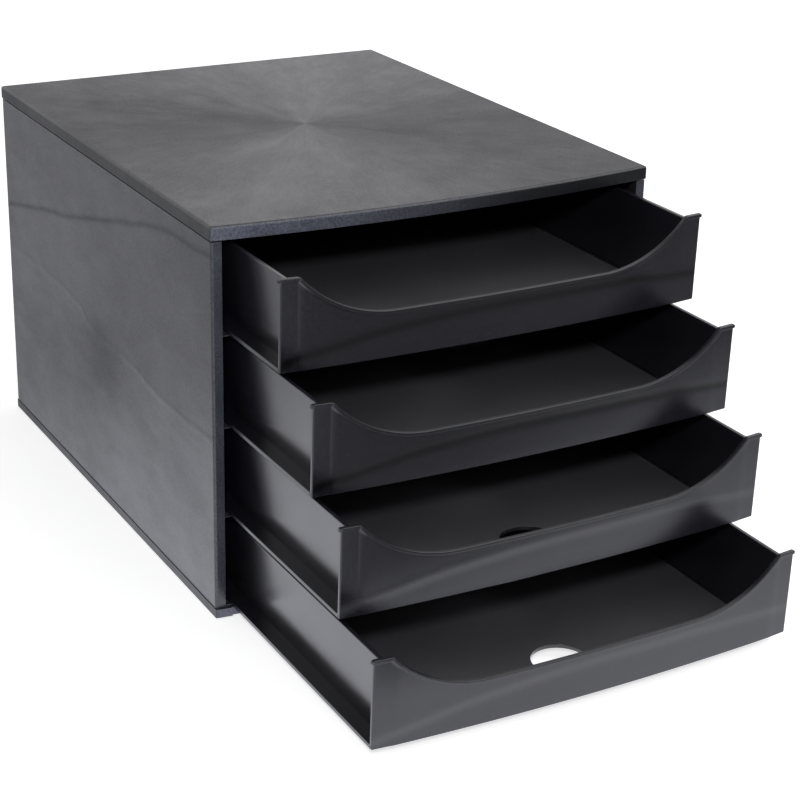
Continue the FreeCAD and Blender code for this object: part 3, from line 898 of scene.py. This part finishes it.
def tray_plastic():
    """Glossier plastic of the trays: a painted reflection along an arch on the front with a slight relief along it,
    and a matt floor with painted light that makes it lighter, and a little dust.
    """
    material, tree, shader = node_tree("tray_plastic")
    coords = own_coords(tree)
    x, y, z = axes(tree, coords)
    inside = math_node(tree, "LESS_THAN", math_node(tree, "ABSOLUTE", x), (WALL_FOOT_X - TRAY_WALL) * MM)
    flat = multiply(tree, facing(tree, 2, *FLOOR_FACING), inside)
    on_front = spread(tree, y, *FRONT_FACE_Y, 1, 0)
    rim = multiply(tree, facing(tree, 2, *RIM_FACING), on_front)
    # The tray's height picks the tone of the painted reflection: dark on the upper trays, light on the lower ones
    upper_trays = spread(tree, axes(tree, object_coords(tree))[2], *UPPER_TRAYS_Z, 0, 1)
    reflection_arch = multiply(tree, ridge(tree, z, curve_through(tree, x, FRONT_ARC), ARCH_W), on_front)

    shade = mottled(tree, coords, *TRAY_COLOUR)
    # Painted reflection along the arch
    shade = tint(tree, reflection_arch, shade, tint(tree, upper_trays, ARCH_LIGHT_REFLECTION, ARCH_DARK_REFLECTION))
    # Painted light: the floor inside gets the lighter colour
    colour = tint(tree, flat, shade, mottled(tree, coords, *TRAY_FLOOR_LIT_COLOUR))
    dust = multiply(tree, specks(tree, coords, *DUST_SPECKS), flat)
    put(tree, shader.inputs["Base Color"], tint(tree, dust, colour, DUST))

    smear = noise(tree, coords, *TRAY_SMEAR)
    gloss = spread(tree, smear, *TRAY_SMEAR_SPAN, *TRAY_ROUGH, True)
    gloss = add(tree, gloss, multiply(tree, rim, RIM_ROUGH))
    matt = spread(tree, smear, *TRAY_SMEAR_SPAN, *TRAY_FLOOR_ROUGH, True)
    raised = multiply(tree, gloss, subtract(tree, 1.0, flat))
    put(tree, shader.inputs["Roughness"], add(tree, raised, multiply(tree, matt, flat)))

    relief = bump(tree, noise(tree, coords, *TRAY_WAVE), TRAY_WAVE_RELIEF)
    relief = bump(tree, multiply(tree, reflection_arch, spread(tree, upper_trays, 0, 1, 1, -1)), ARCH_RELIEF, relief)
    relief = bump(tree, noise(tree, coords, *TRAY_PITTING), TRAY_PITTING_RELIEF, relief)
    relief = bump(tree, noise(tree, coords, *TRAY_GRAIN), TRAY_GRAIN_RELIEF, relief)
    put(tree, shader.inputs["Normal"], relief)
    finish(shader)
    return material


RUBBER_ROUGH = (0.75, 0.9)
RUBBER_RELIEF = 0.00004


def pad_rubber():
    """Matt black rubber of the feet."""
    material, tree, shader = node_tree("pad_rubber")
    coords = object_coords(tree)
    put(tree, shader.inputs["Base Color"], mottled(tree, coords, *RUBBER_COLOUR))
    rough = spread(tree, noise(tree, coords, *RUBBER_SMEAR), *NOISE_SPAN, *RUBBER_ROUGH)
    put(tree, shader.inputs["Roughness"], rough)
    put(tree, shader.inputs["Normal"], bump(tree, noise(tree, coords, *RUBBER_GRAIN), RUBBER_RELIEF))
    return material


def dress(node, material):
    """Gives a CAD node a material in place of its own."""
    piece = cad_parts[node]
    piece.data.materials.clear()
    piece.data.materials.append(material)


casing = casing_plastic()
panels = side_plastic()
rubber = pad_rubber()
trays = tray_plastic()
dress("base_panel", casing)
top_moulding(casing)
for casing_node in ("left_side_panel", "right_side_panel", "back_panel"):
    dress(casing_node, panels)
for casing_node in ("foot_front_left", "foot_front_right", "foot_rear_left", "foot_rear_right"):
    dress(casing_node, rubber)
for tray_node in TRAYS:
    tray_piece(tray_node, trays)


# Stage, in metres: a white floor that mirrors in the plastic as a light table does, a dim room and two lamps. A glow
# is a brightness near and far, and its reach says between which distances it changes.

FLOOR_HALF = 9.0
PAPER_SHADES = ((0.88, 0.88, 0.88), (0.91, 0.91, 0.91))
PAPER_SCALE = 30.0
PAPER_ROUGH = 0.9
PAPER_SPECULAR = 0.1
FLOOR_GLOW = (0.65, 0.88)
FLOOR_GLOW_REACH = (0.7, 2.5)
TABLE_CENTRE = (-0.08, -0.16, 0.0)
TABLE_GLOW = (1.5, 0.75)
TABLE_GLOW_REACH = (0.15, 0.52)
TABLE_DIM = 0.23
TABLE_COLOUR = (0.92, 0.93, 1.0, 1)
TABLE_FRONT_SLOPE = 0.2
TABLE_FRONT_EDGE = (-0.372, -0.325)
TABLE_RIGHT_EDGE = (0.36, 0.46)
TABLE_LEFT_SLOPE = 0.23
TABLE_LEFT_EDGE = (-0.199, -0.175)

# The room's brightness, by the y and z of the direction in which a ray leaves
ROOM = 0.20
ROOM_FRONT = 0.12
ROOM_FRONT_Y = (-0.45, -0.10)
BACKDROP = 1.08
BACKDROP_TOP_Z = (0.42, 0.62)
BACKDROP_SIDE_Y = (-0.1, 0.5)


def ray_kind(tree, *kinds):
    """One for a ray of any of the given kinds."""
    path = tree.nodes.new("ShaderNodeLightPath")
    total = path.outputs[kinds[0]]
    for kind in kinds[1:]:
        total = math_node(tree, "MAXIMUM", total, path.outputs[kind])
    return total


def emission(tree, strength, colour=WHITE):
    node = tree.nodes.new("ShaderNodeEmission")
    node.inputs["Color"].default_value = colour
    put(tree, node.inputs["Strength"], strength)
    return node.outputs[0]


def shader_mix(tree, kind, *values):
    """A node that joins two shaders."""
    node = tree.nodes.new(kind)
    for socket, value in zip(node.inputs, values):
        put(tree, socket, value)
    return node.outputs[0]


def table_glow(tree, coords):
    """How brightly the floor mirrors in the plastic: bright round and left of the object, and dim elsewhere."""
    x, y, _ = axes(tree, coords)
    reach = vector_node(tree, "DISTANCE", coords, TABLE_CENTRE)
    table = spread(tree, reach, *TABLE_GLOW_REACH, *TABLE_GLOW, True)
    front_line = add(tree, y, multiply(tree, x, TABLE_FRONT_SLOPE))
    lit = spread(tree, front_line, *TABLE_FRONT_EDGE, 0, 1, True)
    lit = multiply(tree, lit, spread(tree, x, *TABLE_RIGHT_EDGE, 1, 0, True))
    left_line = add(tree, x, multiply(tree, y, TABLE_LEFT_SLOPE))
    lit = math_node(tree, "MAXIMUM", lit, spread(tree, left_line, *TABLE_LEFT_EDGE, 1.0, 0, True))
    return add(tree, TABLE_DIM, multiply(tree, lit, subtract(tree, table, TABLE_DIM)))


def floor_plane():
    """White paper floor that keeps the object's shadow and fades into the white background."""
    mesh = bpy.data.meshes.new("studio_floor")
    s = FLOOR_HALF
    mesh.from_pydata([(-s, -s, 0), (s, -s, 0), (s, s, 0), (-s, s, 0)], [], [(0, 1, 2, 3)])
    floor = bpy.data.objects.new("studio_floor", mesh)
    bpy.context.scene.collection.objects.link(floor)
    material, tree, shader = node_tree("floor_paper")
    coords = object_coords(tree)
    put(tree, shader.inputs["Base Color"], tint(tree, noise(tree, coords, PAPER_SCALE), *PAPER_SHADES))
    shader.inputs["Roughness"].default_value = PAPER_ROUGH
    shader.inputs["Specular IOR Level"].default_value = PAPER_SPECULAR
    away = vector_node(tree, "DISTANCE", coords, (0.0, 0.0, 0.0))
    glow = spread(tree, away, *FLOOR_GLOW_REACH, *FLOOR_GLOW, True)
    glow = multiply(tree, ray_kind(tree, "Is Camera Ray", "Is Transmission Ray"), glow)
    paper = shader_mix(tree, "ShaderNodeAddShader", shader.outputs[0], emission(tree, glow))
    table = emission(tree, table_glow(tree, coords), TABLE_COLOUR)
    surface = shader_mix(tree, "ShaderNodeMixShader", ray_kind(tree, "Is Glossy Ray"), paper, table)
    tree.links.new(surface, tree.nodes["Material Output"].inputs["Surface"])
    mesh.materials.append(material)


def room_light():
    """Dim room with a white backdrop that stands low behind the object; the camera sees plain white."""
    world = bpy.data.worlds.new("studio")
    world.use_nodes = True
    tree = world.node_tree
    background = tree.nodes["Background"]
    background.inputs["Color"].default_value = WHITE
    _, y, z = axes(tree, tree.nodes.new("ShaderNodeTexCoord").outputs["Generated"])
    low = spread(tree, z, *BACKDROP_TOP_Z, 1, 0, True)
    behind = spread(tree, y, *BACKDROP_SIDE_Y, 0, 1, True)
    backdrop = multiply(tree, multiply(tree, low, behind), BACKDROP - ROOM)
    room = add(tree, backdrop, spread(tree, y, *ROOM_FRONT_Y, ROOM_FRONT, ROOM, True))
    seen = math_node(tree, "MAXIMUM", room, ray_kind(tree, "Is Camera Ray"))
    put(tree, background.inputs["Strength"], seen)
    bpy.context.scene.world = world


LAMP_AIM = (0, 0, 0.1)
KEY_TOWARDS = Vector((0.459, -0.358, 0.813))
KEY_DISTANCE = 2.0
KEY_SIZE = 2.2
KEY_POWER = 24.0
FRONT_PLACE = (-0.60, -1.06, 0.79)
FRONT_SIZE = 0.10
FRONT_POWER = 5.0


def lamp(name, place, size, power):
    """Square area lamp that points at the object."""
    data = bpy.data.lights.new(name, "AREA")
    data.shape = "RECTANGLE"
    data.size = size
    data.size_y = size
    data.energy = power
    lamp_object = bpy.data.objects.new(name, data)
    lamp_object.location = place
    direction = Vector(LAMP_AIM) - Vector(place)
    lamp_object.rotation_euler = direction.to_track_quat("-Z", "Y").to_euler()
    bpy.context.scene.collection.objects.link(lamp_object)


# Camera, fitted to the outline of the casing and the trays. Its place is in millimetres, with y from the casing's
# front.

CAMERA_X = -537.6
CAMERA_Y_FROM_FRONT = -904.4
CAMERA_Z = 550.0
CAMERA_TURN = (1.8944624, -0.4762643, 0.3572213)
FOCAL_PIXELS = 1945.99
PICTURE_PIXELS = 800
CENTRE_ROW = 340.0
SENSOR = 36.0
CLIP_END = 50
CASING_DEPTH = 348.0


def camera():
    """The photo's camera."""
    data = bpy.data.cameras.new("camera")
    data.sensor_width = SENSOR
    data.lens = FOCAL_PIXELS * SENSOR / PICTURE_PIXELS
    data.shift_y = (CENTRE_ROW - PICTURE_PIXELS / 2) / PICTURE_PIXELS
    data.clip_end = CLIP_END
    body = bpy.data.objects.new("camera", data)
    turn = Vector(CAMERA_TURN)
    world_to_camera = Matrix.Rotation(turn.length, 3, turn.normalized())
    right, down, ahead = world_to_camera
    basis = Matrix((right, -down, -ahead)).transposed()
    front_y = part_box("top_panel")[1][1] / MM - CASING_DEPTH
    place = Vector((CAMERA_X, CAMERA_Y_FROM_FRONT + front_y, CAMERA_Z)) * MM
    body.matrix_world = Matrix.Translation(place) @ basis.to_4x4()
    bpy.context.scene.collection.objects.link(body)
    bpy.context.scene.camera = body


floor_plane()
room_light()
lamp("key", KEY_TOWARDS * KEY_DISTANCE, KEY_SIZE, KEY_POWER)
lamp("front", FRONT_PLACE, FRONT_SIZE, FRONT_POWER)
camera()
bpy.context.scene.view_settings.view_transform = "Standard"
